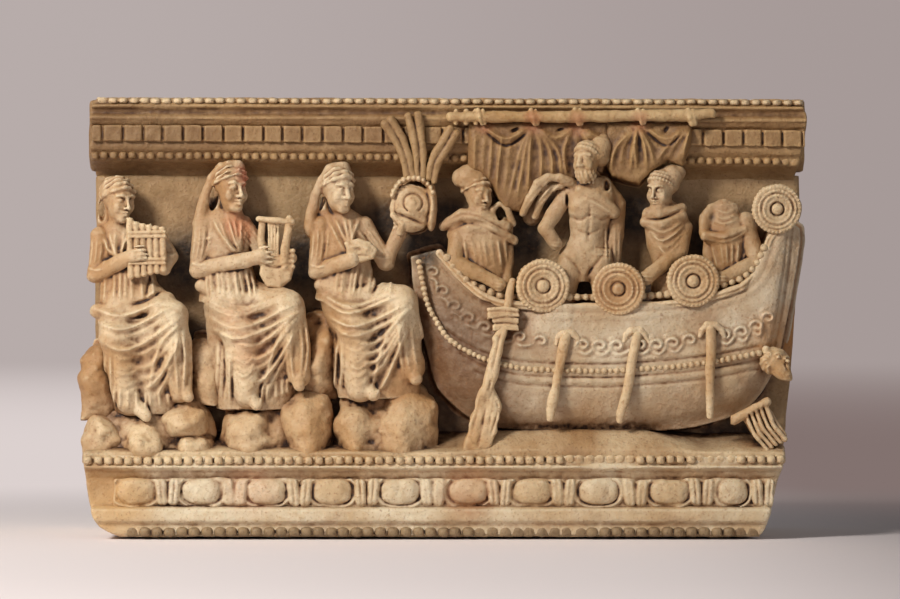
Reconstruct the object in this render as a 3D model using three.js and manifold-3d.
// Cinerary urn: a carved alabaster chest with a ship and three seated musicians in high relief.
// The real chest is one block of stone. Each carved element is modelled as a solid of its own,
// let in against the wall, the ledge and its neighbours with a fine joint, as a cast would be
// pieced together. Millimetres, +Z up, the carved front faces -Y, the origin is at the middle
// of the footprint.
import * as THREE from 'three';
import { mergeVertices } from 'three/addons/utils/BufferGeometryUtils.js';
import Module from 'manifold-3d';

const wasm = await Module();
wasm.setup();

// Block
const BLOCK_DEPTH = 250;
const CHEST_LEFT = 348;
const CHEST_RIGHT = 357;
const CHEST_HEIGHT = 286;
const CHEST_RIGHT_RAKE = 18;
const FRONT_WALL = 40;
const SIDE_WALL = 34;
const BACK_WALL = 32;
const FLOOR_THICKNESS = 30;
const CAVITY_DRAFT = 4;

// Relief field
const RELIEF_DEPTH = 64;
const LEDGE_RISE = 22;
const LEDGE_NOSE = 3;

// Plinth
const PLINTH_HEIGHT = 84;
const PLINTH_LEFT = 362;
const PLINTH_RIGHT = 344;
const PLINTH_LEFT_RAKE = 14;
const PLINTH_RIGHT_RAKE = 20;

// Cornice
const CORNICE_HEIGHT = 73;
const CORNICE_LEFT = 353;
const CORNICE_RIGHT = 362;
const CORNICE_SIDE_RETURN = 5;

// Mouldings
const TOP_BEAD_PITCH = 10.7;
const SOFFIT_BEAD_PITCH = 9.6;
const LEDGE_BEAD_PITCH = 10;
const FOOT_BEAD_PITCH = 13.4;
const BEAD_PROJECTION = 6;
const DENTIL_PITCH = 20;
const DENTIL_GAP = 2.4;
const DENTIL_PROJECTION = 5;
const EGG_PITCH = 66;
const EGG_WIDTH = 37;
const EGG_PROJECTION = 9;
const TONGUE_WIDTH = 11;
const FRIEZE_BACKING = 2;
const FRIEZE_INSET = 22;

// Ship's fittings
const SHIELD_RADIUS = 27;
const SHIELD_THICKNESS = 11;
const RAIL_WIDTH = 8;
const RAIL_BEAD_PITCH = 9;
const RAIL_BEAD_HEIGHT = 9;
const WALE_BEAD_PITCH = 6.6;
const WALE_WIDTH = 8;
const OAR_RADIUS = 5;
const HOOD_RADIUS = 3;
const STEERING_SHAFT_RADIUS = 6;
const YARD_RADIUS = 6;
const STERN_DISC_RADIUS = 25;
const STERN_DISC_THICKNESS = 44;
const STREAMER_WIDTH = 12;
const STREAMER_THICKNESS = 7;
const PIPE_DIAMETER = 6.6;
const PIPE_COUNT = 6;
const PIPE_LENGTH = 52;
const PIPE_STEP = 3;
const LYRE_HEIGHT = 68;
const LYRE_WIDTH = 34;
const LYRE_THICKNESS = 10;
const STRING_COUNT = 4;
const STRING_RADIUS = 1.4;
const PIPE_BAND_PROUD = 1.5;
const RAIL_STEP = 24;
const LEDGE_INSET = 3;

// Joints between pieces, and how far a cutter runs past what it cuts
const CLEARANCE = 0.3;
const OVERRUN = 20;
const WELD = 0.0005;

// Facets
const LIMB_SIDES = 6;
const COLUMN_SIDES = 8;
const ROCK_SIDES = 7;
const HEAD_SIDES = 8;
const HEAD_RINGS = 4;
const DISC_SIDES = 14;
const ROD_SIDES = 6;
const EGG_SIDES = 8;
const EGG_RINGS = 4;
const TONGUE_SIDES = 4;
const STREAMER_STEPS = 5;
const PLAIN_EDGE_COUNT = 5;

// Levels worked out from the sizes above
const GROUND_Y = RELIEF_DEPTH - BLOCK_DEPTH / 2;
const BACK_Y = BLOCK_DEPTH / 2;
const CHEST_BOTTOM = PLINTH_HEIGHT + CLEARANCE;
const CHEST_TOP = PLINTH_HEIGHT + CHEST_HEIGHT;
const CORNICE_BOTTOM = CHEST_TOP + CLEARANCE;
const RIM_Z = CORNICE_BOTTOM + CORNICE_HEIGHT;
const GRID_COLUMN_SHARE = 1 / 7.05;
const GRID_ROW_SHARE = 1 / 2.86;
const GRID_WIDE = GRID_COLUMN_SHARE * (CHEST_LEFT + CHEST_RIGHT);
const GRID_HIGH = GRID_ROW_SHARE * CHEST_HEIGHT;
const LEDGE_BEAD_SEAT = RELIEF_DEPTH - BEAD_PROJECTION - CLEARANCE;

// Profiles of the mouldings: [height, forward projection] as shares of the moulding's height
// and of the relief's depth, from the bottom up.
const PLINTH_PROFILE_SHARES = [
  [0, 0.88], [0.17, 0.88], [0.17, 0.95], [0.38, 0.95], [0.38, 0.8], [0.75, 0.8], [0.75, 0.88],
  [0.8, 0.91], [0.86, 0.98], [0.895, 0.98], [0.895, 0.9], [1, 0.9],
];
const CORNICE_PROFILE_SHARES = [
  [0, 0.02], [0.13, 0.35], [0.25, 0.35], [0.25, 0.41], [0.64, 0.41], [0.64, 0.48],
  [0.69, 0.54], [0.745, 0.5], [0.76, 0.44], [0.83, 0.44], [0.85, 0.54], [0.89, 0.54],
  [0.89, 0.46], [1, 0.46],
];

// Rows that the two profiles carry: level and height as shares of the moulding's height
const FOOT_BEAD_LEVEL_SHARE = 0.05;
const FOOT_BEAD_HEIGHT_SHARE = 0.107;
const FRIEZE_LEVEL_SHARE = 0.4;
const FRIEZE_HEIGHT_SHARE = 0.333;
const EGG_HEIGHT_SHARE = 0.93;
const LEDGE_BEAD_LEVEL_SHARE = 0.905;
const LEDGE_BEAD_HEIGHT_SHARE = 0.089;
const SOFFIT_BEAD_LEVEL_SHARE = 0.14;
const DENTIL_LEVEL_SHARE = 0.395;
const DENTIL_HEIGHT_SHARE = 0.233;
const TOP_BEAD_LEVEL_SHARE = 0.895;
const CORNICE_BEAD_HEIGHT_SHARE = 0.103;
const FRIEZE_HEIGHT = FRIEZE_HEIGHT_SHARE * PLINTH_HEIGHT;
const EGG_HEIGHT = EGG_HEIGHT_SHARE * FRIEZE_HEIGHT;
const FRIEZE_MIDDLE_Z = FRIEZE_LEVEL_SHARE * PLINTH_HEIGHT + FRIEZE_HEIGHT / 2;
const SOFFIT_BEAD_BOTTOM = CORNICE_BOTTOM + SOFFIT_BEAD_LEVEL_SHARE * CORNICE_HEIGHT;
const DENTIL_BOTTOM = CORNICE_BOTTOM + DENTIL_LEVEL_SHARE * CORNICE_HEIGHT;
const DENTIL_HEIGHT = DENTIL_HEIGHT_SHARE * CORNICE_HEIGHT;
const TOP_BEAD_BOTTOM = CORNICE_BOTTOM + TOP_BEAD_LEVEL_SHARE * CORNICE_HEIGHT;
const CORNICE_BEAD_HEIGHT = CORNICE_BEAD_HEIGHT_SHARE * CORNICE_HEIGHT;
const BEAD_VALLEY_SHARE = 0.3;
const SOFFIT_SEAT_SHARE = 0.35;
const DENTIL_SEAT_SHARE = 0.41;
const TOP_SEAT_SHARE = 0.46;
const FOOT_SEAT_SHARE = 0.88;
const FRIEZE_SEAT_SHARE = 0.8;
const EGG_PLACE_SHARE = 0.5;
const LEDGE_FRONT_SHARE = 0.9;

// Relief tables. Places across and up are shares of the grid, from the middle of the
// block and from the front edge of the ledge. Places forward of the wall are shares of the
// relief's depth.
// Column rows: [across, up, forward, half width, half depth], limb rows: [across, up, forward,
// radius]. A figure's rows count from its own axis.
const MUSICIAN_PITCH_SHARE = 1.11;
const FIRST_MUSICIAN_SHARE = -3.02;
const ROD_TIP_SHARE = 0.6;
const HEAD_WIDTH_SHARE = 0.145;
const HEAD_HEIGHT_SHARE = 0.2;
const HEAD_DEPTH_SHARE = 0.24;
const HEAD_FORM_SHARES = [
  [1, 0.95, 0.78, 0, 0.22], [0.72, 0.7, 0.6, 0.22, -0.42], [0.2, 0.4, 0.28, 0.8, 0],
];
const MUSICIAN_TURN = Math.PI / 7;
const HELMSMAN_TURN = Math.PI / 6;
const CAPTIVE_TURN = -Math.PI / 8;
const SAILOR_TURN = -Math.PI / 7;
const CREW_HEAD_SCALE_SHARE = 0.88;

const PIPE_PLAYER_SHARES = {
  torsoShares: [
    [-0.06, 1.5, 0.34, 0.35, 0.34], [-0.12, 1.76, 0.31, 0.29, 0.26], [-0.14, 2.01, 0.31, 0.28, 0.25],
    [-0.12, 2.16, 0.3, 0.32, 0.24], [-0.22, 2.27, 0.28, 0.2, 0.18], [-0.23, 2.36, 0.3, 0.09, 0.13],
  ],
  skirtShares: [
    [0.1, 0.56, 0.4, 0.34, 0.3], [0.06, 0.96, 0.42, 0.33, 0.32], [0.02, 1.36, 0.42, 0.32, 0.32],
  ],
  veilShares: [
    [-0.36, 2.3, 0.22, 0.07, 0.12], [-0.32, 2.52, 0.24, 0.09, 0.16], [-0.26, 2.7, 0.28, 0.13, 0.2],
    [-0.2, 2.79, 0.3, 0.07, 0.1],
  ],
  limbShares: [
    [[-0.4, 2.2, 0.36, 0.1], [-0.45, 1.82, 0.42, 0.085], [-0.06, 2.01, 0.7, 0.065]],
    [[0.16, 2.18, 0.32, 0.1], [0.32, 1.88, 0.42, 0.09], [0.2, 2.02, 0.66, 0.06]],
    [[-0.2, 1.5, 0.36, 0.19], [-0.22, 1.2, 0.7, 0.17], [-0.09, 0.54, 0.66, 0.12]],
    [[0.1, 1.53, 0.36, 0.19], [0.31, 1.4, 0.69, 0.165], [0.41, 0.64, 0.62, 0.11]],
    [[-0.45, 1.46, 0.5, 0.07], [-0.1, 1.44, 0.62, 0.08], [0.28, 1.58, 0.5, 0.07]],
    [[-0.06, 0.46, 0.66, 0.09], [0.05, 0.36, 0.82, 0.07]],
    [[0.44, 0.68, 0.6, 0.08], [0.49, 0.61, 0.76, 0.07]],
  ],
  headShares: [-0.22, 2.56, 0.38],
};

const LYRE_PLAYER_SHARES = {
  torsoShares: [
    [-0.17, 1.54, 0.34, 0.36, 0.34], [-0.23, 1.81, 0.31, 0.27, 0.26], [-0.25, 2.06, 0.31, 0.25, 0.25],
    [-0.25, 2.24, 0.3, 0.28, 0.24], [-0.28, 2.4, 0.28, 0.22, 0.18], [-0.2, 2.49, 0.3, 0.1, 0.13],
  ],
  skirtShares: [
    [-0.01, 0.61, 0.4, 0.33, 0.3], [-0.04, 1.06, 0.42, 0.36, 0.32], [-0.07, 1.46, 0.42, 0.38, 0.32],
  ],
  veilShares: [
    [-0.43, 2.34, 0.2, 0.1, 0.14], [-0.38, 2.51, 0.22, 0.16, 0.2], [-0.32, 2.66, 0.24, 0.2, 0.24],
    [-0.24, 2.84, 0.28, 0.18, 0.24], [-0.2, 2.93, 0.28, 0.1, 0.14],
  ],
  limbShares: [
    [[-0.48, 2.32, 0.36, 0.1], [-0.53, 1.86, 0.42, 0.085], [0.11, 2, 0.7, 0.07]],
    [[-0.08, 2.32, 0.3, 0.09], [0.21, 1.88, 0.32, 0.08], [0.4, 1.98, 0.5, 0.06]],
    [[-0.27, 1.5, 0.36, 0.19], [-0.11, 1.2, 0.7, 0.17], [-0.03, 0.6, 0.68, 0.12]],
    [[0.07, 1.54, 0.36, 0.19], [0.37, 1.5, 0.69, 0.165], [0.52, 0.8, 0.62, 0.11]],
    [[-0.49, 1.71, 0.44, 0.07], [-0.16, 1.56, 0.62, 0.08], [0.16, 1.62, 0.5, 0.07]],
    [[-0.01, 0.56, 0.68, 0.1], [0.07, 0.5, 0.83, 0.08]],
    [[0.48, 0.78, 0.62, 0.09], [0.49, 0.72, 0.78, 0.08]],
  ],
  headShares: [-0.2, 2.69, 0.4],
};

const SINGER_SHARES = {
  torsoShares: [
    [-0.14, 1.56, 0.34, 0.34, 0.34], [-0.18, 1.81, 0.31, 0.27, 0.26], [-0.18, 2.06, 0.31, 0.28, 0.25],
    [-0.2, 2.24, 0.3, 0.29, 0.24], [-0.22, 2.39, 0.28, 0.23, 0.18], [-0.23, 2.48, 0.3, 0.1, 0.13],
  ],
  skirtShares: [
    [0.18, 0.71, 0.4, 0.42, 0.3], [0.12, 1.06, 0.42, 0.4, 0.32], [0, 1.46, 0.42, 0.38, 0.32],
  ],
  veilShares: [
    [-0.44, 2.31, 0.2, 0.1, 0.14], [-0.4, 2.51, 0.22, 0.12, 0.2], [-0.34, 2.66, 0.24, 0.17, 0.24],
    [-0.29, 2.83, 0.28, 0.16, 0.24], [-0.25, 2.92, 0.28, 0.09, 0.14],
  ],
  limbShares: [
    [[-0.41, 2.3, 0.36, 0.1], [-0.45, 1.84, 0.42, 0.085], [-0.1, 1.96, 0.66, 0.075]],
    [[0.02, 2.3, 0.3, 0.1], [0.24, 1.94, 0.36, 0.085], [0.4, 2.3, 0.34, 0.07]],
    [[-0.22, 1.52, 0.36, 0.19], [-0.08, 1.3, 0.69, 0.175], [0, 0.68, 0.68, 0.13]],
    [[0.1, 1.56, 0.36, 0.19], [0.38, 1.54, 0.68, 0.18], [0.52, 0.88, 0.6, 0.12]],
    [[-0.42, 1.72, 0.44, 0.07], [-0.1, 1.6, 0.62, 0.08], [0.2, 1.68, 0.5, 0.07]],
    [[0.06, 0.66, 0.68, 0.1], [0.14, 0.6, 0.83, 0.08]],
    [[0.52, 0.84, 0.58, 0.09], [0.56, 0.78, 0.72, 0.08]],
  ],
  headShares: [-0.23, 2.67, 0.4],
};
const MUSICIANS = [PIPE_PLAYER_SHARES, LYRE_PLAYER_SHARES, SINGER_SHARES];

const HELMSMAN_SHARES = {
  axisShare: 0.39,
  torsoShares: [
    [0.04, 1.3, 0.36, 0.26, 0.26], [0.01, 1.94, 0.36, 0.28, 0.26], [-0.01, 2.16, 0.36, 0.32, 0.26],
    [0, 2.34, 0.34, 0.32, 0.22], [0, 2.46, 0.34, 0.14, 0.16],
  ],
  capShares: [
    [-0.05, 2.66, 0.42, 0.19, 0.28], [-0.12, 2.78, 0.42, 0.14, 0.22], [-0.2, 2.88, 0.42, 0.05, 0.08],
  ],
  limbShares: [
    [[-0.23, 2.18, 0.44, 0.1], [-0.26, 1.94, 0.58, 0.085], [0.18, 1.71, 0.7, 0.06]],
    [[0.27, 2.21, 0.36, 0.09], [0.31, 1.94, 0.4, 0.08], [0.24, 1.66, 0.55, 0.06]],
  ],
  headShares: [0, 2.61, 0.44],
};
const CAPTIVE_SHARES = {
  axisShare: 1.48,
  torsoShares: [
    [-0.06, 1.92, 0.36, 0.24, 0.22], [-0.06, 2.06, 0.36, 0.22, 0.22], [-0.02, 2.21, 0.36, 0.165, 0.2],
    [0, 2.51, 0.42, 0.24, 0.26], [0, 2.68, 0.44, 0.24, 0.24], [0, 2.8, 0.5, 0.12, 0.18],
  ],
  capShares: [
    [0.02, 3.01, 0.58, 0.16, 0.26], [0.03, 3.12, 0.58, 0.14, 0.22], [0.05, 3.19, 0.56, 0.07, 0.12],
  ],
  limbShares: [
    [[-0.23, 2.61, 0.42, 0.1], [-0.47, 2.28, 0.5, 0.085], [-0.36, 2.1, 0.6, 0.07]],
    [[0.22, 2.56, 0.34, 0.1], [0.25, 2.21, 0.28, 0.09], [0.12, 2.04, 0.3, 0.08]],
    [[-0.22, 2.02, 0.38, 0.13], [-0.3, 1.4, 0.4, 0.12]],
    [[0.1, 2.02, 0.38, 0.12], [0.12, 1.4, 0.4, 0.11]],
    [[-0.2, 2.7, 0.3, 0.1], [-0.45, 2.64, 0.26, 0.09], [-0.6, 2.42, 0.22, 0.07]],
    [[0.2, 2.4, 0.26, 0.1], [0.23, 1.92, 0.26, 0.08]],
    [[0, 2.86, 0.7, 0.07], [-0.03, 2.76, 0.74, 0.04]],
  ],
  headShares: [0, 2.96, 0.62],
};
const CAPPED_SAILOR_SHARES = {
  axisShare: 2.24,
  torsoShares: [
    [0, 1.3, 0.36, 0.22, 0.22], [0, 1.94, 0.36, 0.22, 0.24], [-0.02, 2.11, 0.36, 0.23, 0.24],
    [0, 2.31, 0.36, 0.24, 0.22], [0, 2.44, 0.34, 0.2, 0.18], [-0.03, 2.54, 0.34, 0.09, 0.13],
  ],
  capShares: [
    [0.02, 2.73, 0.42, 0.17, 0.27], [0.03, 2.82, 0.42, 0.16, 0.24], [0.02, 2.91, 0.42, 0.13, 0.18],
  ],
  limbShares: [
    [[0.2, 2.28, 0.36, 0.09], [0.14, 2.04, 0.5, 0.08], [-0.2, 1.78, 0.66, 0.065]],
    [[-0.22, 2.28, 0.36, 0.09], [-0.26, 1.98, 0.42, 0.08], [-0.16, 1.72, 0.5, 0.06]],
  ],
  headShares: [-0.06, 2.66, 0.46],
};
const BROKEN_SAILOR_SHARES = {
  axisShare: 2.86,
  torsoShares: [
    [-0.02, 1.3, 0.36, 0.24, 0.22], [0, 1.94, 0.36, 0.24, 0.24], [0, 2.16, 0.36, 0.26, 0.24],
    [0, 2.34, 0.36, 0.24, 0.2], [-0.03, 2.43, 0.36, 0.15, 0.16], [-0.03, 2.54, 0.36, 0.12, 0.12],
  ],
  limbShares: [
    [[0.18, 2.34, 0.4, 0.1], [0.29, 1.93, 0.52, 0.09], [-0.06, 1.78, 0.66, 0.07]],
    [[-0.2, 2.31, 0.36, 0.09], [-0.23, 1.94, 0.42, 0.08], [-0.16, 1.71, 0.5, 0.06]],
  ],
};

// Rocks: rows of a column with few sides, from the bottom up
const ROCK_SHARES = {
  rock_far_left: [
    [-3.44, 0.42, 0.3, 0.12, 0.3], [-3.42, 0.62, 0.36, 0.17, 0.36], [-3.43, 0.95, 0.34, 0.17, 0.34],
    [-3.42, 1.13, 0.28, 0.1, 0.24],
  ],
  rock_left_foot: [
    [-3.4, -0.05, 0.4, 0.18, 0.4], [-3.39, 0.2, 0.44, 0.2, 0.42], [-3.4, 0.4, 0.38, 0.16, 0.34],
  ],
  rock_under_piper: [
    [-2.98, -0.05, 0.46, 0.22, 0.44], [-2.97, 0.16, 0.5, 0.24, 0.46], [-2.96, 0.38, 0.42, 0.18, 0.36],
  ],
  rock_piper_heel: [
    [-2.52, 0.2, 0.42, 0.24, 0.4], [-2.51, 0.38, 0.46, 0.26, 0.42], [-2.52, 0.54, 0.38, 0.2, 0.34],
  ],
  rock_piper_toe: [
    [-2.48, -0.05, 0.46, 0.2, 0.44], [-2.48, 0.12, 0.5, 0.22, 0.46], [-2.48, 0.24, 0.44, 0.18, 0.4],
  ],
  rock_seat_left: [
    [-2.38, 0.55, 0.3, 0.16, 0.3], [-2.37, 0.95, 0.34, 0.17, 0.34], [-2.38, 1.24, 0.28, 0.12, 0.28],
  ],
  rock_under_lyre: [
    [-1.9, -0.05, 0.46, 0.28, 0.44], [-1.9, 0.22, 0.5, 0.31, 0.46], [-1.88, 0.48, 0.42, 0.24, 0.36],
  ],
  rock_lyre_heel: [
    [-1.34, -0.05, 0.44, 0.24, 0.42], [-1.35, 0.3, 0.48, 0.28, 0.44], [-1.36, 0.64, 0.4, 0.2, 0.34],
  ],
  rock_seat_right: [
    [-1.22, 0.6, 0.3, 0.16, 0.3], [-1.22, 1.1, 0.34, 0.17, 0.34], [-1.24, 1.48, 0.28, 0.12, 0.28],
  ],
  rock_under_singer: [
    [-0.87, -0.05, 0.44, 0.18, 0.42], [-0.87, 0.3, 0.48, 0.2, 0.44], [-0.88, 0.6, 0.4, 0.15, 0.34],
  ],
  rock_singer_heel: [
    [-0.36, -0.05, 0.44, 0.28, 0.42], [-0.36, 0.34, 0.48, 0.32, 0.44], [-0.34, 0.74, 0.4, 0.26, 0.34],
  ],
};

// Hull stations from the stern to the prow: [keel across, keel up, gunwale across, gunwale up,
// forward]. The section bulges between the two edges.
const HULL_SHARES = [
  [-0.3, 1.94, 0.03, 2.01, 0.62], [-0.24, 1.41, 0.2, 1.74, 0.7], [-0.1, 0.84, 0.48, 1.58, 0.76],
  [0.13, 0.48, 0.78, 1.54, 0.79], [0.53, 0.26, 1.18, 1.53, 0.8], [1.18, 0.24, 1.48, 1.53, 0.8],
  [1.78, 0.24, 1.78, 1.53, 0.8], [2.38, 0.26, 2.18, 1.55, 0.8], [2.86, 0.39, 2.58, 1.6, 0.79],
  [3.15, 0.58, 2.93, 1.7, 0.77], [3.31, 0.86, 3.1, 1.81, 0.75], [3.43, 1.26, 3.18, 1.94, 0.72],
  [3.53, 1.91, 3.23, 2.06, 0.68], [3.58, 2.48, 3.26, 2.23, 0.64],
];
const HULL_SECTION_SHARES = [
  [0, -0.2], [0, 0.35], [0.12, 0.78], [0.38, 0.98], [0.72, 1], [0.94, 0.92], [1, 0.88], [1, -0.2],
];
const RAIL_INSET_SHARE = 0.1;
const RAIL_FORWARD_SHARE = 0.82;
const WALE_FORWARD_SHARE = 0.86;
const RAIL_BEAD_PATH_SHARES = [
  [0.62, 1.61], [0.95, 1.59], [1.4, 1.58], [1.8, 1.58], [2.2, 1.59], [2.6, 1.65], [2.9, 1.76],
];
const RAIL_BEAD_FORWARD_SHARES = [0.5, 0.68];
const WALE_PATH_SHARES = [
  [-0.22, 1.91], [-0.19, 1.71], [-0.14, 1.51], [-0.05, 1.34], [0.05, 1.19], [0.18, 1.09],
  [0.33, 1.01], [0.63, 0.91], [0.98, 0.86], [1.58, 0.85], [1.98, 0.87], [2.38, 0.9], [2.76, 0.95],
  [3.15, 1.02],
];
const SHIELD_PLACES_SHARES = [
  [1.01, 1.7, 0.71], [1.77, 1.67, 0.71], [2.51, 1.75, 0.71], [3.35, 2.47, 0.45],
];
const SHIELD_PROFILE_SHARES = [
  [0, 0], [1, 0], [0.98, 0.65], [0.84, 0.62], [0.8, 0.82], [0.66, 0.78], [0.58, 0.56],
  [0.26, 0.62], [0.2, 0.95], [0, 1],
];
const OAR_SHARES = [
  [[1.23, 1.22, 0.84, 1], [1.1, 0.7, 0.87, 0.9], [1.07, 0.4, 0.8, 0.8]],
  [[1.95, 1.22, 0.84, 0.95], [1.83, 0.78, 0.87, 0.85], [1.78, 0.38, 0.8, 0.7]],
  [[2.69, 1.28, 0.84, 0.95], [2.68, 0.8, 0.87, 0.8], [2.67, 0.42, 0.8, 0.6]],
];
const HOOD_SPAN_SHARE = 0.15;
const HOOD_RISE_SHARE = 0.11;
const HOOD_ARC_SHARES = [[-1, 0], [-0.5, 0.9], [0.5, 0.9], [1, 0]];
const HOOD_PLACES_SHARES = [[1.26, 1.14, 0.82], [1.93, 1.18, 0.82], [2.7, 1.2, 0.82]];
const STEERING_SHAFT_SHARES = [[0.6, 1.42, 0.84, 1], [0.54, 1.1, 0.87, 1], [0.45, 0.62, 0.8, 0.9]];
const STEERING_BLADE_SHARES = [[0.57, 0.66], [0.32, 0.62], [0.2, 0.1], [0.42, 0.04]];
const TILLER_SHARES = [[0.65, 1.78, 0.72, 0.7], [0.64, 1.42, 0.86, 0.7]];
const STEERING_BLADE_FORWARD_SHARES = [0.74, 0.86];
const BRACKET_SHARES = [
  [[0.44, 1.46], [0.46, 1.52], [0.78, 1.44], [0.76, 1.38]],
  [[0.42, 1.34], [0.43, 1.41], [0.75, 1.33], [0.73, 1.26]],
];
const BRACKET_FORWARD_SHARE = 0.88;
const PROW_HEAD_SHARES = [[3.2, 1.02, 0.62, 0.1], [3.35, 0.94, 0.66, 0.17], [3.38, 0.8, 0.72, 0.12]];
const RAM_SHARES = [[3, 0.36], [3.26, 0.48], [3.45, 0.18], [3.23, 0.06]];
const RAM_RIDGE_SHARE = 0.03;
const RAM_FORWARD_SHARE = 0.62;
const RAM_RIDGE_COUNT = 5;

const YARD_SHARES = [0.1, 2.72, 3.39, 0.63];
const YARD_PROFILE_SHARES = [
  [0.7, 0], [1.2, 0.015], [0.8, 0.035], [1.2, 0.05], [0.8, 0.07], [1.2, 0.09], [1, 0.11], [1, 0.89],
  [1.2, 0.92], [0.8, 0.94], [1.2, 0.96], [0.8, 0.98], [0.7, 1],
];
const SAIL_LEFT_SHARES = {
  folds: 7,
  rowShares: [
    [0.33, 1.12, 2.42, 0.42], [0.26, 1.16, 2.7, 0.56], [0.28, 1.14, 3.05, 0.7], [0.32, 1.1, 3.36, 0.66],
  ],
};
const SAIL_RIGHT_SHARES = {
  folds: 6,
  rowShares: [
    [1.78, 2.44, 2.76, 0.52], [1.72, 2.46, 2.92, 0.62], [1.76, 2.42, 3.1, 0.7], [1.86, 2.38, 3.36, 0.66],
  ],
};
const SAIL_FOLD_DEPTH_SHARE = 0.1;
const STERN_DISC_SHARES = [-0.29, 2.5, 0];
const STERN_DISC_PROFILE_SHARES = [
  [0, -0.2], [0.7, -0.2], [0.8, 0.6], [0.96, 0.7], [1, 0.8], [0.9, 0.92], [0.6, 0.9], [0.32, 0.88],
  [0, 1],
];
const STREAMER_SHARES = {
  streamer_left: [[-0.34, 2.74], [-0.36, 2.9], [-0.42, 3.06], [-0.49, 3.2], [-0.53, 3.38]],
  streamer_middle: [[-0.22, 2.78], [-0.21, 2.95], [-0.21, 3.16], [-0.24, 3.3], [-0.28, 3.42]],
  streamer_right: [[-0.1, 2.74], [-0.08, 2.9], [0.0, 3.06], [0.08, 3.18], [0.13, 3.3]],
};
const STREAMER_FORWARD_SHARE = 0.6;
const STREAMER_SECTION_SHARES = [
  [-0.5, -0.5], [-0.45, 0.3], [-0.2, 0.5], [0, 0.2], [0.2, 0.5], [0.45, 0.3], [0.5, -0.5],
];
const STERN_DISC_OVAL_SHARE = 0.92;

const PIPES_SHARES = [0.06, 1.83, 0.66];
const PIPE_FLUTE_SHARES = [[0.05, 0.2], [0.5, 1], [0.95, 0.2]];
const PIPE_FOOT_STEP_SHARE = 0.4;
const PIPE_BAND_SHARES = [0.3, 0.76];
const LYRE_SHARES = [0.26, 1.66, 0.6];
const LYRE_BOX_SHARES = [[0.22, 0], [0.42, 0.14], [0.36, 0.36], [0.2, 0.44]];
const LYRE_ARM_SHARE = 0.34;
const LYRE_ARM_SHARES = [
  [[-0.3, 0.3], [-0.46, 0.6], [-0.34, 0.9]], [[0.3, 0.3], [0.46, 0.6], [0.36, 0.98]],
];
const LYRE_BAR_SHARE = 0.86;
const LYRE_BAR_HALF_SHARE = 0.42;
const LYRE_STRING_SPAN_SHARE = 0.4;
const LYRE_STRING_FOOT_SHARE = 0.3;
const PIPE_STUB_SHARES = [[-0.04, 2.02, 0.66, 0.08], [0.14, 2.12, 0.6, 0.1]];

/** Point of the relief: across and up on the grid, forward from the wall. */
function reliefPoint(across, up, forward) {
  return new THREE.Vector3(
    across * GRID_WIDE,
    GROUND_Y - forward * RELIEF_DEPTH,
    PLINTH_HEIGHT + up * GRID_HIGH,
  );
}

/** Solid for cutting and joining, from a closed geometry. */
function solidOf(geometry) {
  const bare = geometry.clone();
  bare.deleteAttribute('normal');
  bare.deleteAttribute('uv');
  const merged = mergeVertices(bare, WELD);
  return new wasm.Manifold(new wasm.Mesh({
    numProp: 3,
    vertProperties: Float32Array.from(merged.attributes.position.array),
    triVerts: Uint32Array.from(merged.index.array),
  }));
}

/** Geometry of a finished solid. */
function geometryOf(solid) {
  const mesh = solid.getMesh();
  const geometry = new THREE.BufferGeometry();
  geometry.setAttribute('position', new THREE.BufferAttribute(mesh.vertProperties, mesh.numProp));
  geometry.setIndex(new THREE.BufferAttribute(mesh.triVerts, 1));
  geometry.computeVertexNormals();
  return geometry;
}

/** One solid of several that run into each other. */
function joined(solids) {
  return solids.reduce((whole, piece) => whole.add(piece));
}

/** The largest of the bodies that a cut leaves. */
function largestBody(solid) {
  const bodies = solid.decompose();
  return bodies.reduce((best, body) => (body.volume() > best.volume() ? body : best));
}

/** Volume inside a triangle list, negative when its faces point in. */
function signedVolume(points, triangles) {
  const total = triangles.reduce((sum, [a, b, c]) => (
    sum + points[a].dot(new THREE.Vector3().crossVectors(points[b], points[c]))), 0);
  return total / 6;
}

/** Middle of a ring of points. */
function middleOf(ring) {
  return ring.reduce((sum, point) => sum.add(point), new THREE.Vector3()).divideScalar(ring.length);
}

/** Closed skin over rings of equal count, with a fan over each end, peaked at a tip if given. */
function skin(rings, tips = []) {
  const count = rings[0].length;
  const points = rings.flat();
  const triangles = [];
  for (let row = 0; row + 1 < rings.length; row += 1) {
    for (let k = 0; k < count; k += 1) {
      const a = row * count + k;
      const b = row * count + ((k + 1) % count);
      triangles.push([a, b, b + count], [a, b + count, a + count]);
    }
  }
  [[0, true], [rings.length - 1, false]].forEach(([row, start]) => {
    const hub = points.length;
    points.push(tips[start ? 0 : 1] ?? middleOf(rings[row]));
    for (let k = 0; k < count; k += 1) {
      const a = row * count + k;
      const b = row * count + ((k + 1) % count);
      triangles.push(start ? [hub, b, a] : [hub, a, b]);
    }
  });
  if (signedVolume(points, triangles) < 0) triangles.forEach((triangle) => triangle.reverse());
  const geometry = new THREE.BufferGeometry().setFromPoints(points);
  geometry.setIndex(triangles.flat());
  return solidOf(geometry);
}

/** Upright form of level elliptical rings, such as a torso, a skirt or a boulder. */
function column(rowShares, sides, grow) {
  const rings = rowShares.map(([across, up, forward, halfWidth, halfDepth]) => {
    const centre = reliefPoint(across, up, forward);
    return Array.from({ length: sides }, (_, k) => {
      const angle = ((k + 0.5) / sides) * 2 * Math.PI;
      return new THREE.Vector3(
        centre.x + (halfWidth * GRID_WIDE + grow) * Math.cos(angle),
        centre.y + (halfDepth * RELIEF_DEPTH + grow) * Math.sin(angle),
        centre.z,
      );
    });
  });
  return skin(grow > 0 ? lengthened(rings, grow) : rings);
}

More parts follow.
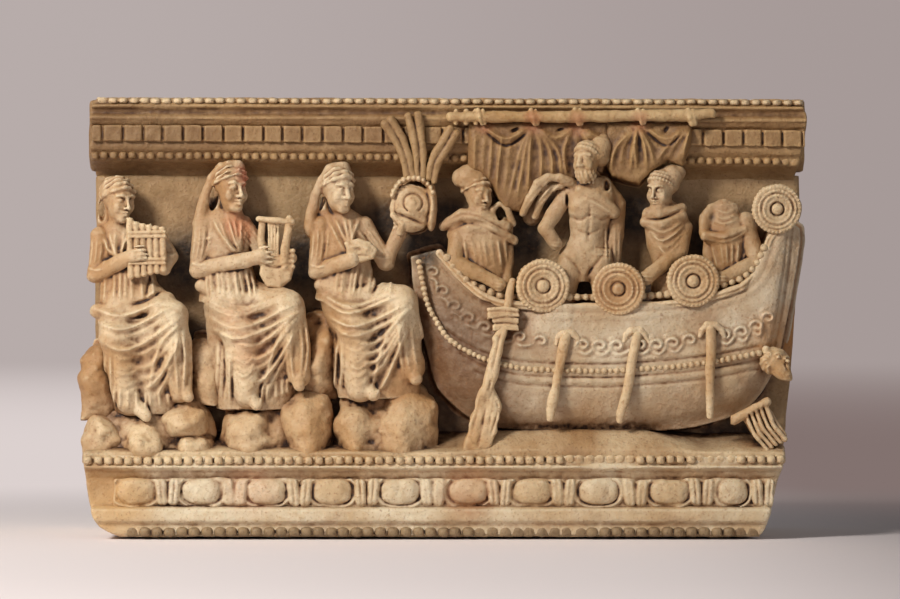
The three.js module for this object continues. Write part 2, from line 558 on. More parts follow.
/** Level rings with one more like the first below and one like the last above. */
function lengthened(rings, grow) {
  const copy = (ring, rise) => ring.map((point) => new THREE.Vector3(point.x, point.y, point.z + rise));
  return [copy(rings[0], -grow), ...rings, copy(rings[rings.length - 1], grow)];
}

/** Directions along a line of points, one at each point. */
function headings(points) {
  return points.map((point, index) => {
    const before = points[Math.max(index - 1, 0)];
    const after = points[Math.min(index + 1, points.length - 1)];
    return new THREE.Vector3().subVectors(after, before).normalize();
  });
}

/** Round rod through points with a radius at each and blunt tips. */
function rod(points, radii, sides, grow) {
  const ways = headings(points);
  const axes = [new THREE.Vector3(1, 0, 0), new THREE.Vector3(0, 1, 0), new THREE.Vector3(0, 0, 1)];
  const slant = (axis) => Math.max(...ways.map((way) => Math.abs(way.dot(axis))));
  const guide = axes.reduce((best, axis) => (slant(axis) < slant(best) ? axis : best));
  const ring = (centre, way, radius) => {
    const across = new THREE.Vector3().crossVectors(guide, way).normalize();
    const along = new THREE.Vector3().crossVectors(way, across);
    return Array.from({ length: sides }, (_, k) => {
      const angle = (k / sides) * 2 * Math.PI;
      return centre.clone()
        .addScaledVector(across, radius * Math.cos(angle))
        .addScaledVector(along, radius * Math.sin(angle));
    });
  };
  const last = points.length - 1;
  const tip = (index, sign) => points[index].clone()
    .addScaledVector(ways[index], sign * (radii[index] * ROD_TIP_SHARE + grow));
  const rings = points.map((point, index) => ring(point, ways[index], radii[index] + grow));
  return skin(rings, [tip(0, -1), tip(last, 1)]);
}

/** Limb from a table of rows. */
function limb(rowShares, grow) {
  const points = rowShares.map(([across, up, forward]) => reliefPoint(across, up, forward));
  return rod(points, rowShares.map((row) => row[3] * GRID_WIDE), LIMB_SIDES, grow);
}

/** Closed outline pushed out forward from one depth to another. */
function slab(outline, backForward, frontForward, grow) {
  const shape = new THREE.Shape(outline);
  const depth = (frontForward - backForward) * RELIEF_DEPTH + 2 * grow;
  const geometry = new THREE.ExtrudeGeometry(shape, { depth, bevelEnabled: false });
  geometry.rotateX(Math.PI / 2);
  geometry.translate(0, GROUND_Y - backForward * RELIEF_DEPTH + grow, 0);
  return solidOf(geometry);
}

/** Outline of grid places, spread outward from its middle by the growth. */
function gridOutline(placeShares, grow) {
  const points = placeShares.map(([across, up]) => new THREE.Vector2(
    across * GRID_WIDE, PLINTH_HEIGHT + up * GRID_HIGH));
  const middle = points.reduce((sum, point) => sum.add(point), new THREE.Vector2());
  middle.divideScalar(points.length);
  return points.map((point) => {
    const away = new THREE.Vector2().subVectors(point, middle);
    return point.clone().add(away.setLength(2 * grow));
  });
}

/** Round form turned about an axis that looks forward, flattened to an oval if asked. */
function roundel(profileShares, radius, thickness, place, grow, ovalShare = 1) {
  const profile = profileShares.map(([out, height]) => new THREE.Vector2(
    out === 0 ? 0 : out * radius + grow,
    height * thickness + (height === 0 ? -grow : grow),
  ));
  const geometry = new THREE.LatheGeometry(profile, DISC_SIDES);
  geometry.scale(ovalShare, 1, 1);
  geometry.rotateX(Math.PI);
  const seat = reliefPoint(...place);
  geometry.translate(seat.x, seat.y, seat.z);
  return solidOf(geometry);
}

/** Points of a smooth curve through grid places, a fixed step apart. */
function curvePlaces(placeShares, step) {
  const curve = new THREE.CatmullRomCurve3(placeShares.map(([across, up]) => (
    new THREE.Vector3(across * GRID_WIDE, 0, PLINTH_HEIGHT + up * GRID_HIGH))));
  const count = Math.round(curve.getLength() / step);
  return curve.getSpacedPoints(count).map((point) => new THREE.Vector2(point.x, point.z));
}

/** Band along a curve, plain on its upper edge, with beads or a plain run on its lower edge. */
function curvedBand(path, width, beadShare, grow) {
  const ways = path.map((point, index) => {
    const before = path[Math.max(index - 1, 0)];
    const after = path[Math.min(index + 1, path.length - 1)];
    return new THREE.Vector2().subVectors(after, before).normalize();
  });
  const offset = (index, distance) => new THREE.Vector2(
    path[index].x - ways[index].y * distance, path[index].y + ways[index].x * distance);
  const half = width / 2;
  const upper = path.map((_, index) => offset(index, half + grow))
    .filter((_, index) => index % PLAIN_EDGE_COUNT === 0 || index === path.length - 1);
  const lower = path.map((_, index) => {
    const notch = index % 2 === 0 ? beadShare * width : 0;
    return offset(index, -half - grow + notch);
  });
  return [...upper, ...lower.reverse()];
}

/** Rectangular block whose outline changes from level to level. */
function steppedBlock(levels) {
  return skin(levels.map(({ z, left, right, front, back }) => [
    new THREE.Vector3(left, front, z),
    new THREE.Vector3(right, front, z),
    new THREE.Vector3(right, back, z),
    new THREE.Vector3(left, back, z),
  ]));
}

/** Plinth: the moulded block that carries the chest. Its ends rake in toward the foot. */
function plinth() {
  return steppedBlock(PLINTH_PROFILE_SHARES.map(([height, forward]) => ({
    z: height * PLINTH_HEIGHT,
    left: -PLINTH_LEFT + (1 - height) * PLINTH_LEFT_RAKE,
    right: PLINTH_RIGHT - (1 - height) * PLINTH_RIGHT_RAKE,
    front: GROUND_Y - forward * RELIEF_DEPTH,
    back: BACK_Y,
  })));
}

/** Chest: upright walls and floor round the ash cavity, open at the top. */
function chest() {
  const level = (z, rake) => ({
    z, left: -CHEST_LEFT, right: CHEST_RIGHT - rake, front: GROUND_Y, back: BACK_Y,
  });
  const walls = steppedBlock([level(CHEST_BOTTOM, CHEST_RIGHT_RAKE), level(CHEST_TOP, 0)]);
  return walls.subtract(cavity());
}

/** Ash cavity, drawn in a little toward its floor, with its right side raked as the chest is. */
function cavity() {
  const level = (z, draft, rake) => ({
    z,
    left: -CHEST_LEFT + SIDE_WALL + draft,
    right: CHEST_RIGHT - SIDE_WALL - draft - rake,
    front: GROUND_Y + FRONT_WALL + draft,
    back: BACK_Y - BACK_WALL - draft,
  });
  return steppedBlock([
    level(CHEST_BOTTOM + FLOOR_THICKNESS, CAVITY_DRAFT, CHEST_RIGHT_RAKE),
    level(CHEST_TOP, 0, 0),
    level(RIM_Z + OVERRUN, 0, 0),
  ]);
}

/** Cornice: the moulded rim of the chest, whose level top carries the lid. */
function corniceBlock(grow) {
  const outerMost = Math.max(...CORNICE_PROFILE_SHARES.map(([, forward]) => forward));
  return steppedBlock(CORNICE_PROFILE_SHARES.map(([height, forward]) => {
    const inset = (1 - forward / outerMost) * CORNICE_SIDE_RETURN;
    return {
      z: CORNICE_BOTTOM + height * CORNICE_HEIGHT - (height === 0 ? grow : 0),
      left: -CORNICE_LEFT + inset - grow,
      right: CORNICE_RIGHT - inset + grow,
      front: GROUND_Y - forward * RELIEF_DEPTH - grow,
      back: BACK_Y,
    };
  }));
}

/** Level strip on a moulding: an outline seen from above, pushed up. */
function levelStrip(outline, bottom, height) {
  const geometry = new THREE.ExtrudeGeometry(
    new THREE.Shape(outline), { depth: height, bevelEnabled: false });
  geometry.translate(0, 0, bottom);
  return solidOf(geometry);
}

/** Row of beads from one end to the other, joined by a thin back. */
function beadRow({ left, right, pitch, forward, bottom, height }) {
  const seat = GROUND_Y - forward - CLEARANCE;
  const count = Math.round((right - left) / pitch);
  const step = (right - left) / count;
  const outline = [new THREE.Vector2(right, seat), new THREE.Vector2(left, seat)];
  const valley = seat - BEAD_PROJECTION * BEAD_VALLEY_SHARE;
  for (let k = 0; k < count; k += 1) {
    const start = left + k * step;
    outline.push(
      new THREE.Vector2(start, valley), new THREE.Vector2(start + step / 2, seat - BEAD_PROJECTION),
    );
  }
  outline.push(new THREE.Vector2(right, valley));
  return levelStrip(outline, bottom, height);
}

/** Band of dentils: square blocks parted by narrow grooves. */
function dentilBand() {
  const seat = GROUND_Y - DENTIL_SEAT_SHARE * RELIEF_DEPTH - CLEARANCE;
  const left = -CORNICE_LEFT + CORNICE_SIDE_RETURN;
  const right = CORNICE_RIGHT - CORNICE_SIDE_RETURN;
  const count = Math.round((right - left) / DENTIL_PITCH);
  const step = (right - left + DENTIL_GAP) / count;
  const outline = [new THREE.Vector2(right, seat), new THREE.Vector2(left, seat)];
  const groove = seat - DENTIL_PROJECTION * BEAD_VALLEY_SHARE;
  const face = seat - DENTIL_PROJECTION;
  for (let k = 0; k < count; k += 1) {
    const start = left + k * step;
    const end = start + step - DENTIL_GAP;
    outline.push(new THREE.Vector2(start, face), new THREE.Vector2(end, face));
    if (k + 1 < count) {
      outline.push(new THREE.Vector2(end, groove), new THREE.Vector2(start + step, groove));
    }
  }
  return levelStrip(outline, DENTIL_BOTTOM, DENTIL_HEIGHT);
}

/** Swelling oval of the egg and tongue frieze. */
function swelling(x, width, height, projection, sides) {
  const geometry = new THREE.SphereGeometry(1, sides, EGG_RINGS);
  geometry.scale(width / 2, projection, height / 2);
  geometry.translate(x, GROUND_Y - FRIEZE_SEAT_SHARE * RELIEF_DEPTH - CLEARANCE, FRIEZE_MIDDLE_Z);
  return solidOf(geometry);
}

/** Egg and tongue frieze: wide eggs with a pair of tongues between each two. */
function eggFrieze() {
  const seat = GROUND_Y - FRIEZE_SEAT_SHARE * RELIEF_DEPTH - CLEARANCE;
  const left = -PLINTH_LEFT + FRIEZE_INSET;
  const right = PLINTH_RIGHT - FRIEZE_INSET;
  const face = seat - FRIEZE_BACKING;
  const corners = [[right, seat], [left, seat], [left, face], [right, face]];
  const outline = corners.map(([x, y]) => new THREE.Vector2(x, y));
  const backing = levelStrip(outline, FRIEZE_MIDDLE_Z - FRIEZE_HEIGHT / 2, FRIEZE_HEIGHT);
  const behind = steppedBlock([-1, 1].map((side) => ({
    z: FRIEZE_MIDDLE_Z + side * FRIEZE_HEIGHT,
    left: left - OVERRUN,
    right: right + OVERRUN,
    front: seat,
    back: BACK_Y,
  })));
  const count = Math.floor((right - left) / EGG_PITCH);
  const swellings = [];
  for (let k = 0; k < count; k += 1) {
    const eggX = left + (k + EGG_PLACE_SHARE) * EGG_PITCH;
    swellings.push(swelling(eggX, EGG_WIDTH, EGG_HEIGHT, EGG_PROJECTION, EGG_SIDES));
    [-1, 1].forEach((side) => {
      const tongueX = eggX + EGG_PITCH / 2 + side * TONGUE_WIDTH / 2;
      if (tongueX + TONGUE_WIDTH / 2 > right) return;
      swellings.push(swelling(tongueX, TONGUE_WIDTH, FRIEZE_HEIGHT, EGG_PROJECTION, TONGUE_SIDES));
    });
  }
  return joined([backing, ...swellings]).subtract(behind);
}

/** Sloping ledge that the rocks and the ship stand on. */
function ledge(grow) {
  const bottom = CHEST_BOTTOM;
  const front = GROUND_Y - LEDGE_FRONT_SHARE * RELIEF_DEPTH - grow;
  const back = GROUND_Y - CLEARANCE + grow;
  const nose = bottom + LEDGE_NOSE + grow;
  const crest = bottom + LEDGE_RISE + grow;
  const profile = [[back, bottom], [front, bottom], [front, nose], [back, crest]];
  const ends = [-PLINTH_LEFT + LEDGE_INSET - grow, PLINTH_RIGHT - LEDGE_INSET + grow];
  return skin(ends.map((x) => profile.map(([y, z]) => new THREE.Vector3(x, y, z))));
}

/** Plain bar that holds a row of the cornice, a joint's width larger all round. */
function rowBar(bottom, height, seatShare, projection) {
  return steppedBlock([bottom - CLEARANCE, bottom + height + CLEARANCE].map((z) => ({
    z,
    left: -CORNICE_LEFT - CLEARANCE,
    right: CORNICE_RIGHT + CLEARANCE,
    front: GROUND_Y - seatShare * RELIEF_DEPTH - projection - 2 * CLEARANCE,
    back: BACK_Y,
  })));
}

/** Everything behind, below and above the relief, a joint's width larger all round. */
function surround() {
  const block = (bottom, top, front) => steppedBlock([bottom, top].map((z) => ({
    z, left: -CORNICE_RIGHT - OVERRUN, right: CORNICE_RIGHT + OVERRUN, front, back: BACK_Y,
  })));
  const wall = block(0, RIM_Z, GROUND_Y - CLEARANCE);
  const foot = block(-OVERRUN, PLINTH_HEIGHT + CLEARANCE, -BLOCK_DEPTH);
  const rows = [
    rowBar(SOFFIT_BEAD_BOTTOM, CORNICE_BEAD_HEIGHT, SOFFIT_SEAT_SHARE, BEAD_PROJECTION),
    rowBar(DENTIL_BOTTOM, DENTIL_HEIGHT, DENTIL_SEAT_SHARE, DENTIL_PROJECTION),
    rowBar(TOP_BEAD_BOTTOM, CORNICE_BEAD_HEIGHT, TOP_SEAT_SHARE, BEAD_PROJECTION),
  ];
  return joined([wall, foot, ledge(CLEARANCE), corniceBlock(CLEARANCE), ...rows]);
}

/** Head: skull, jaw and a ridge of nose, with the neck that carries it. */
function head(placeShares, scale, turn, grow) {
  const centre = reliefPoint(...placeShares);
  const ball = (width, depth, height, offset) => {
    const geometry = new THREE.SphereGeometry(1, HEAD_SIDES, HEAD_RINGS);
    geometry.rotateX(Math.PI / 2);
    geometry.scale(width + grow, depth + grow, height + grow);
    geometry.translate(offset.x, offset.y, offset.z);
    geometry.rotateZ(turn);
    geometry.translate(centre.x, centre.y, centre.z);
    return solidOf(geometry);
  };
  const width = HEAD_WIDTH_SHARE * GRID_WIDE * scale;
  const depth = HEAD_DEPTH_SHARE * RELIEF_DEPTH * scale;
  const height = HEAD_HEIGHT_SHARE * GRID_HIGH * scale;
  return joined(HEAD_FORM_SHARES.map(([wide, deep, high, forward, up]) => {
    const offset = new THREE.Vector3(0, -depth * forward, height * up);
    return ball(width * wide, depth * deep, height * high, offset);
  }));
}

/** Figure: a torso, and what its pose has of skirt, veil, cap, limbs and head. */
function figure(pose, axisShare, scale, turn, grow) {
  const moved = (rows) => rows.map(([across, ...rest]) => [across + axisShare, ...rest]);
  const forms = [column(moved(pose.torsoShares), COLUMN_SIDES, grow)];
  [pose.skirtShares, pose.veilShares, pose.capShares].filter(Boolean).forEach((rows) => {
    forms.push(column(moved(rows), COLUMN_SIDES, grow));
  });
  pose.limbShares.forEach((rows) => forms.push(limb(moved(rows), grow)));
  if (pose.headShares) {
    const [across, up, forward] = pose.headShares;
    forms.push(head([across + axisShare, up, forward], scale, turn, grow));
  }
  return joined(forms);
}

/** Seated musician, counted from the left. */
function musician(index, grow) {
  const axisShare = FIRST_MUSICIAN_SHARE + index * MUSICIAN_PITCH_SHARE;
  return figure(MUSICIANS[index], axisShare, 1, MUSICIAN_TURN, grow);
}

/** Member of the ship's crew. */
function sailor(pose, turn, grow) {
  return figure(pose, pose.axisShare, CREW_HEAD_SCALE_SHARE, turn, grow);
}

/** Pan pipes: a row of reeds, shorter and shorter, held by two bands. */
function panPipes(grow) {
  const [across, up, forward] = PIPES_SHARES;
  const axis = across + FIRST_MUSICIAN_SHARE;
  const foot = reliefPoint(axis, up, forward);
  const radius = PIPE_DIAMETER / 2;
  const reeds = skin([0, 1].map((top) => {
    const places = Array.from({ length: PIPE_COUNT }, (_, k) => PIPE_FLUTE_SHARES.map(([part, out]) => {
      const x = foot.x + (k - PIPE_COUNT / 2 + part) * PIPE_DIAMETER;
      const low = foot.z - (PIPE_COUNT - k) * PIPE_FOOT_STEP_SHARE * PIPE_STEP - grow;
      const high = foot.z + PIPE_LENGTH - k * PIPE_STEP + grow;
      return new THREE.Vector3(x, foot.y - out * radius - grow, top ? high : low);
    })).flat();
    const last = places.length - 1;
    places[0].x -= grow;
    places[last].x += grow;
    const backs = [places[last], places[0]].map((place) => new THREE.Vector3(
      place.x, foot.y + radius + grow, place.z));
    return [...places, ...backs];
  }));
  const half = (PIPE_COUNT * PIPE_DIAMETER) / 2;
  const bands = PIPE_BAND_SHARES.map((share) => {
    const z = foot.z + PIPE_LENGTH * share;
    return steppedBlock([-1, 1].map((side) => ({
      z: z + side * (radius + grow),
      left: foot.x - half - grow,
      right: foot.x + half + grow,
      front: foot.y - radius - PIPE_BAND_PROUD - grow,
      back: foot.y + radius + grow,
    })));
  });
  return joined([reeds, ...bands]);
}

/** Lyre: sound box, two curved arms, crossbar and strings. */
function lyre(grow) {
  const [across, up, forward] = LYRE_SHARES;
  const foot = reliefPoint(across + FIRST_MUSICIAN_SHARE + MUSICIAN_PITCH_SHARE, up, forward);
  const at = ([x, z]) => new THREE.Vector3(foot.x + x * LYRE_WIDTH, foot.y, foot.z + z * LYRE_HEIGHT);
  const bar = (places, radius) => rod(places.map(at), places.map(() => radius), ROD_SIDES, grow);
  const armRadius = LYRE_THICKNESS * LYRE_ARM_SHARE;
  const corners = [[-1, -1], [1, -1], [1, 1], [-1, 1]];
  const box = skin(LYRE_BOX_SHARES.map(([half, z]) => corners.map(([side, fore]) => new THREE.Vector3(
    foot.x + side * (half * LYRE_WIDTH + grow),
    foot.y + fore * (LYRE_THICKNESS / 2 + grow),
    foot.z + z * LYRE_HEIGHT,
  ))));
  const strings = Array.from({ length: STRING_COUNT }, (_, k) => {
    const x = LYRE_STRING_SPAN_SHARE * (k / (STRING_COUNT - 1) - 0.5);
    return bar([[x, LYRE_STRING_FOOT_SHARE], [x, LYRE_BAR_SHARE]], STRING_RADIUS);
  });
  const arms = LYRE_ARM_SHARES.map((places) => bar(places, armRadius));
  const crossbar = bar([-1, 1].map((side) => [side * LYRE_BAR_HALF_SHARE, LYRE_BAR_SHARE]), armRadius);
  return joined([box, ...arms, crossbar, ...strings]);
}

/** Broken end of the double pipe at the third musician's breast. */
function pipeStub(grow) {
  const axis = FIRST_MUSICIAN_SHARE + 2 * MUSICIAN_PITCH_SHARE;
  return limb(PIPE_STUB_SHARES.map(([across, ...rest]) => [across + axis, ...rest]), grow);
}

/** Boulder with few facets. */
function boulder(name, grow) {
  return column(ROCK_SHARES[name], ROCK_SIDES, grow);
}

/** Rings with the first and the last moved outward along the run of rings. */
function spreadEnds(rings, grow) {
  [[0, 1], [rings.length - 1, rings.length - 2]].forEach(([end, inner]) => {
    const away = new THREE.Vector3().subVectors(middleOf(rings[end]), middleOf(rings[inner]));
    rings[end].forEach((point) => point.add(away.clone().setLength(grow)));
  });
  return rings;
}

/** Hull: a crescent whose section bulges between keel and gunwale. */
function hull(grow) {
  return skin(spreadEnds(HULL_SHARES.map(([keelX, keelUp, gunwaleX, gunwaleUp, forward]) => {
    const keel = reliefPoint(keelX, keelUp, 0);
    const gunwale = reliefPoint(gunwaleX, gunwaleUp, 0);
    const across = new THREE.Vector3().subVectors(gunwale, keel).normalize();
    return HULL_SECTION_SHARES.map(([part, out]) => {
      const point = new THREE.Vector3().lerpVectors(keel, gunwale, part);
      point.addScaledVector(across, grow * Math.sign(part - 0.5));
      point.y -= out * forward * RELIEF_DEPTH + grow;
      return point;
    });
  }), grow));
}

/** Rail along the gunwale, from the sternpost to the stem. */
function gunwaleRail(grow) {
  const places = HULL_SHARES.map(([keelX, keelUp, gunwaleX, gunwaleUp]) => [
    gunwaleX + (keelX - gunwaleX) * RAIL_INSET_SHARE,
    gunwaleUp + (keelUp - gunwaleUp) * RAIL_INSET_SHARE,
  ]);
  const outline = curvedBand(curvePlaces(places, RAIL_STEP), RAIL_WIDTH, 0, grow);
  return slab(outline, 0, RAIL_FORWARD_SHARE, grow).subtract(hull(CLEARANCE - grow));
}

/** Beaded strake below the ports. */
function waleBeads(grow) {
  const path = curvePlaces(WALE_PATH_SHARES, WALE_BEAD_PITCH / 2);
  const outline = curvedBand(path, WALE_WIDTH, BEAD_VALLEY_SHARE, grow);
  return slab(outline, 0, WALE_FORWARD_SHARE, grow).subtract(hull(CLEARANCE - grow));
}

/** Row of beads that stands on the gunwale. */
function railBeads(grow) {
  const path = curvePlaces(RAIL_BEAD_PATH_SHARES, RAIL_BEAD_PITCH / 2);
  const outline = curvedBand(path, RAIL_BEAD_HEIGHT, BEAD_VALLEY_SHARE, grow);
  const [back, front] = RAIL_BEAD_FORWARD_SHARES;
  return slab(outline, back, front, grow);
}

/** Round shield with a raised rim, a ring and a boss. */
function shield(index, grow) {
  const place = SHIELD_PLACES_SHARES[index];
  return roundel(SHIELD_PROFILE_SHARES, SHIELD_RADIUS, SHIELD_THICKNESS, place, grow);
}

/** Oar that comes out of its port and hangs across the hull. */
function oar(index, grow) {
  const rows = OAR_SHARES[index];
  const points = rows.map(([across, up, forward]) => reliefPoint(across, up, forward));
  return rod(points, rows.map((row) => row[3] * OAR_RADIUS), ROD_SIDES, grow);
}

/** Arched hood over an oar port. */
function portHood(index, grow) {
  const [across, up, forward] = HOOD_PLACES_SHARES[index];
  const points = HOOD_ARC_SHARES.map(([side, rise]) => reliefPoint(
    across + side * HOOD_SPAN_SHARE, up + rise * HOOD_RISE_SHARE, forward));
  return rod(points, points.map(() => HOOD_RADIUS), ROD_SIDES, grow);
}

/** Steering oar: a stout shaft with a broad blade. */
function steeringOar(grow) {
  const points = STEERING_SHAFT_SHARES.map(([across, up, forward]) => reliefPoint(across, up, forward));
  const radii = STEERING_SHAFT_SHARES.map((row) => row[3] * STEERING_SHAFT_RADIUS);
  const shaft = rod(points, radii, ROD_SIDES, grow);
  const [back, front] = STEERING_BLADE_FORWARD_SHARES;
  return shaft.add(slab(gridOutline(STEERING_BLADE_SHARES, grow), back, front, grow));
}

/** Tiller bar that the helmsman holds. */
function tiller(grow) {
  const points = TILLER_SHARES.map(([across, up, forward]) => reliefPoint(across, up, forward));
  return rod(points, TILLER_SHARES.map((row) => row[3] * STEERING_SHAFT_RADIUS), ROD_SIDES, grow);
}

/** Two-banded bracket that holds the steering oar to the hull. */
function steeringBracket(grow) {
  const bands = BRACKET_SHARES.map((rows) => (
    slab(gridOutline(rows, grow), 0, BRACKET_FORWARD_SHARE, grow)));
  return joined(bands);
}

/** Beast's head at the foot of the stem. */
function prowHead(grow) {
  return limb(PROW_HEAD_SHARES, grow);
}

/** Ram: a slanted block with ridges along it. */
function ram(grow) {
  const corners = RAM_SHARES.map(([across, up]) => reliefPoint(across, up, RAM_FORWARD_SHARE));
  const radius = RAM_RIDGE_SHARE * GRID_WIDE;
  const ridges = Array.from({ length: RAM_RIDGE_COUNT }, (_, k) => {
    const share = (k + 0.5) / RAM_RIDGE_COUNT;
    const ends = [
      new THREE.Vector3().lerpVectors(corners[0], corners[1], share),
      new THREE.Vector3().lerpVectors(corners[3], corners[2], share),
    ];
    return rod(ends, [radius, radius], ROD_SIDES, grow);
  });
  return joined([slab(gridOutline(RAM_SHARES, grow), 0, RAM_FORWARD_SHARE, grow), ...ridges]);
}

/** Yard with knobs turned at both ends. */
function yard(grow) {
  const [left, right, up, forward] = YARD_SHARES;
  const start = reliefPoint(left, up, forward);
  const length = (right - left) * GRID_WIDE;
  const rows = [[0, 0], ...YARD_PROFILE_SHARES, [0, 1]];
  const profile = rows.map(([out, along], index) => new THREE.Vector2(
    out === 0 ? 0 : out * YARD_RADIUS + grow,
    along * length + (index < 2 ? -grow : 0) + (index > rows.length - 3 ? grow : 0),
  ));
  const geometry = new THREE.LatheGeometry(profile, ROD_SIDES);
  geometry.rotateZ(-Math.PI / 2);
  geometry.translate(start.x, start.y, start.z);
  return solidOf(geometry);
}

/** Furled sail: level rows whose front edge runs in folds. */
function sail({ folds, rowShares }, grow) {
  const rings = rowShares.map(([left, right, up, forward]) => {
    const back = GROUND_Y + OVERRUN;
    const count = folds * 2;
    const front = Array.from({ length: count + 1 }, (_, k) => {
      const depth = forward - (k % 2) * SAIL_FOLD_DEPTH_SHARE;
      const point = reliefPoint(left + ((right - left) * k) / count, up, depth);
      return new THREE.Vector3(point.x, point.y - grow, point.z);
    });
    front[0].x -= grow;
    front[count].x += grow;
    const ends = [front[count], front[0]].map((point) => new THREE.Vector3(point.x, back, point.z));
    return [...front, ...ends];
  });
  return skin(grow > 0 ? lengthened(rings, grow) : rings);
}

/** Oval disc at the stern, with a boss. */
function sternDisc(grow) {
  return roundel(
    STERN_DISC_PROFILE_SHARES, STERN_DISC_RADIUS, STERN_DISC_THICKNESS, STERN_DISC_SHARES, grow,
    STERN_DISC_OVAL_SHARE,
  );
}

/** Streamer that rises from the stern disc. */
function streamer(name, grow) {
  const centres = STREAMER_SHARES[name].map(([across, up]) => (
    reliefPoint(across, up, STREAMER_FORWARD_SHARE)));
  const curve = new THREE.CatmullRomCurve3(centres);
  const outline = STREAMER_SECTION_SHARES.map(([wide, deep]) => new THREE.Vector2(
    deep * (STREAMER_THICKNESS + 2 * grow), wide * (STREAMER_WIDTH + 2 * grow)));
  const geometry = new THREE.ExtrudeGeometry(new THREE.Shape(outline), {
    steps: STREAMER_STEPS, bevelEnabled: false, extrudePath: curve,
  });
  return solidOf(geometry);
}

// Tones of the stone: pale where it stands proud, browner where the patina gathers
const TONES = {
  pale: { color: 0xe6cfab, roughness: 0.62, metalness: 0 },
  warm: { color: 0xd6b78a, roughness: 0.66, metalness: 0 },
  tan: { color: 0xc09a6b, roughness: 0.7, metalness: 0 },
};

// Relief pieces, the ones that keep their whole form first: each is let in round those before it
const RELIEF = [
  { name: 'ship_hull', tone: 'warm', make: hull },
  { name: 'gunwale_rail', tone: 'warm', make: gunwaleRail },
  { name: 'wale_beads', tone: 'pale', make: waleBeads },
  ...['stern', 'midship', 'fore', 'prow'].map((place, index) => ({
    name: `shield_${place}`, tone: 'pale', make: (grow) => shield(index, grow),
  })),
  ...['stern', 'midship', 'fore'].map((place, index) => ({
    name: `oar_${place}`, tone: 'pale', make: (grow) => oar(index, grow),
  })),
  ...['stern', 'midship', 'fore'].map((place, index) => ({
    name: `port_hood_${place}`, tone: 'warm', make: (grow) => portHood(index, grow),
  })),
  { name: 'steering_oar', tone: 'pale', make: steeringOar },
  { name: 'steering_bracket', tone: 'warm', make: steeringBracket },
  { name: 'tiller', tone: 'pale', make: tiller },
  { name: 'prow_beast_head', tone: 'pale', make: prowHead },
  { name: 'ram', tone: 'warm', make: ram },
  { name: 'musician_with_pan_pipes', tone: 'pale', make: (grow) => musician(0, grow) },
  { name: 'musician_with_lyre', tone: 'pale', make: (grow) => musician(1, grow) },
  { name: 'musician_with_broken_pipe', tone: 'pale', make: (grow) => musician(2, grow) },
  { name: 'pan_pipes', tone: 'pale', make: panPipes },
  { name: 'lyre', tone: 'pale', make: lyre },
  { name: 'broken_pipe', tone: 'pale', make: pipeStub },
  { name: 'helmsman', tone: 'warm', make: (grow) => sailor(HELMSMAN_SHARES, HELMSMAN_TURN, grow) },
  { name: 'bound_captain', tone: 'warm', make: (grow) => sailor(CAPTIVE_SHARES, CAPTIVE_TURN, grow) },
  {
    name: 'capped_sailor',
    tone: 'warm',
    make: (grow) => sailor(CAPPED_SAILOR_SHARES, SAILOR_TURN, grow),
  },
  { name: 'broken_sailor', tone: 'warm', make: (grow) => sailor(BROKEN_SAILOR_SHARES, 0, grow) },
  { name: 'rail_beads', tone: 'pale', make: railBeads },
  { name: 'yard', tone: 'warm', make: yard },
  { name: 'sail_left', tone: 'warm', make: (grow) => sail(SAIL_LEFT_SHARES, grow) },
  { name: 'sail_right', tone: 'warm', make: (grow) => sail(SAIL_RIGHT_SHARES, grow) },
  { name: 'stern_disc', tone: 'warm', make: sternDisc },
  ...Object.keys(STREAMER_SHARES).map((name) => ({
    name, tone: 'warm', make: (grow) => streamer(name, grow),
  })),
  ...Object.keys(ROCK_SHARES).map((name) => ({
    name, tone: 'pale', make: (grow) => boulder(name, grow),
  })),
];

/** Whether the boxes of two solids meet. */
function boxesMeet(first, second) {
  const a = first.boundingBox();
  const b = second.boundingBox();
  return [0, 1, 2].every((axis) => a.min[axis] <= b.max[axis] && b.min[axis] <= a.max[axis]);
}

/** Relief pieces cut to fit the block and one another. */
function fittedRelief() {
  const around = [surround()];
  return RELIEF.map(({ name, tone, make }) => {
    const whole = make(0);
    const near = around.filter((other) => boxesMeet(whole, other));
    const solid = largestBody(near.reduce((rest, other) => rest.subtract(other), whole));
    around.push(make(CLEARANCE));
    return { name, tone, solid };
  });
}

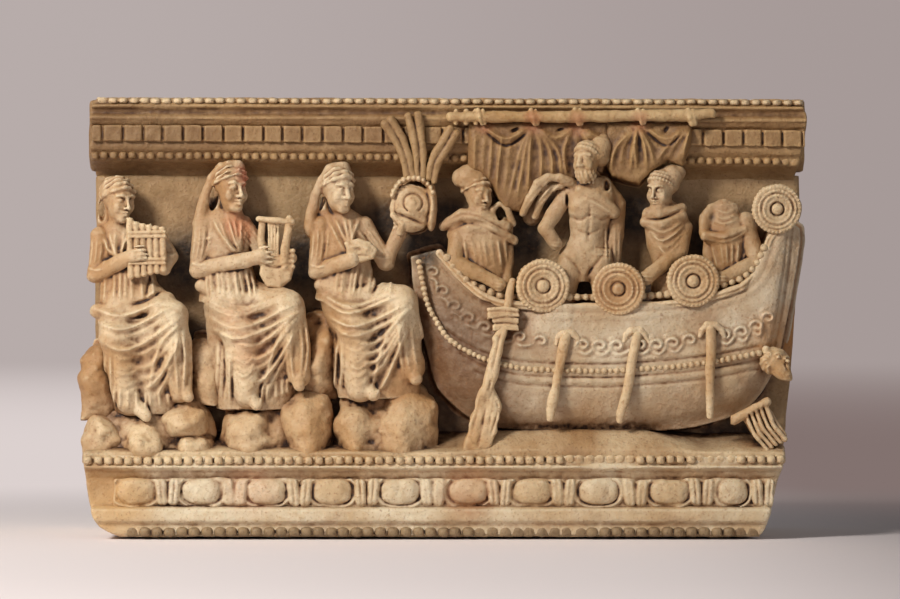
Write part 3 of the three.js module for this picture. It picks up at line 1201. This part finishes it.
/** Pieces of the block itself, with the mouldings that run along it. */
function blockPieces() {
  const rows = {
    foot_beads: {
      left: -PLINTH_LEFT + PLINTH_LEFT_RAKE, right: PLINTH_RIGHT - PLINTH_RIGHT_RAKE,
      pitch: FOOT_BEAD_PITCH, forward: FOOT_SEAT_SHARE * RELIEF_DEPTH,
      bottom: FOOT_BEAD_LEVEL_SHARE * PLINTH_HEIGHT,
      height: FOOT_BEAD_HEIGHT_SHARE * PLINTH_HEIGHT,
    },
    ledge_beads: {
      left: -PLINTH_LEFT, right: PLINTH_RIGHT, pitch: LEDGE_BEAD_PITCH, forward: LEDGE_BEAD_SEAT,
      bottom: LEDGE_BEAD_LEVEL_SHARE * PLINTH_HEIGHT,
      height: LEDGE_BEAD_HEIGHT_SHARE * PLINTH_HEIGHT,
    },
    soffit_beads: {
      left: -CORNICE_LEFT, right: CORNICE_RIGHT - CORNICE_SIDE_RETURN, pitch: SOFFIT_BEAD_PITCH,
      forward: SOFFIT_SEAT_SHARE * RELIEF_DEPTH,
      bottom: SOFFIT_BEAD_BOTTOM,
      height: CORNICE_BEAD_HEIGHT,
    },
    top_beads: {
      left: -CORNICE_LEFT, right: CORNICE_RIGHT, pitch: TOP_BEAD_PITCH,
      forward: TOP_SEAT_SHARE * RELIEF_DEPTH,
      bottom: TOP_BEAD_BOTTOM,
      height: CORNICE_BEAD_HEIGHT,
    },
  };
  return [
    { name: 'chest_body', tone: 'warm', solid: chest() },
    { name: 'cornice', tone: 'tan', solid: corniceBlock(0).subtract(cavity()) },
    { name: 'plinth', tone: 'warm', solid: plinth() },
    { name: 'ledge', tone: 'warm', solid: ledge(0) },
    { name: 'dentils', tone: 'tan', solid: dentilBand() },
    { name: 'egg_frieze', tone: 'pale', solid: eggFrieze() },
    ...Object.entries(rows).map(([name, row]) => ({ name, tone: 'pale', solid: beadRow(row) })),
  ];
}

const urn = new THREE.Group();
[...blockPieces(), ...fittedRelief()].forEach(({ name, tone, solid }) => {
  const mesh = new THREE.Mesh(geometryOf(solid), new THREE.MeshStandardMaterial(TONES[tone]));
  mesh.name = name;
  urn.add(mesh);
});

export default urn;
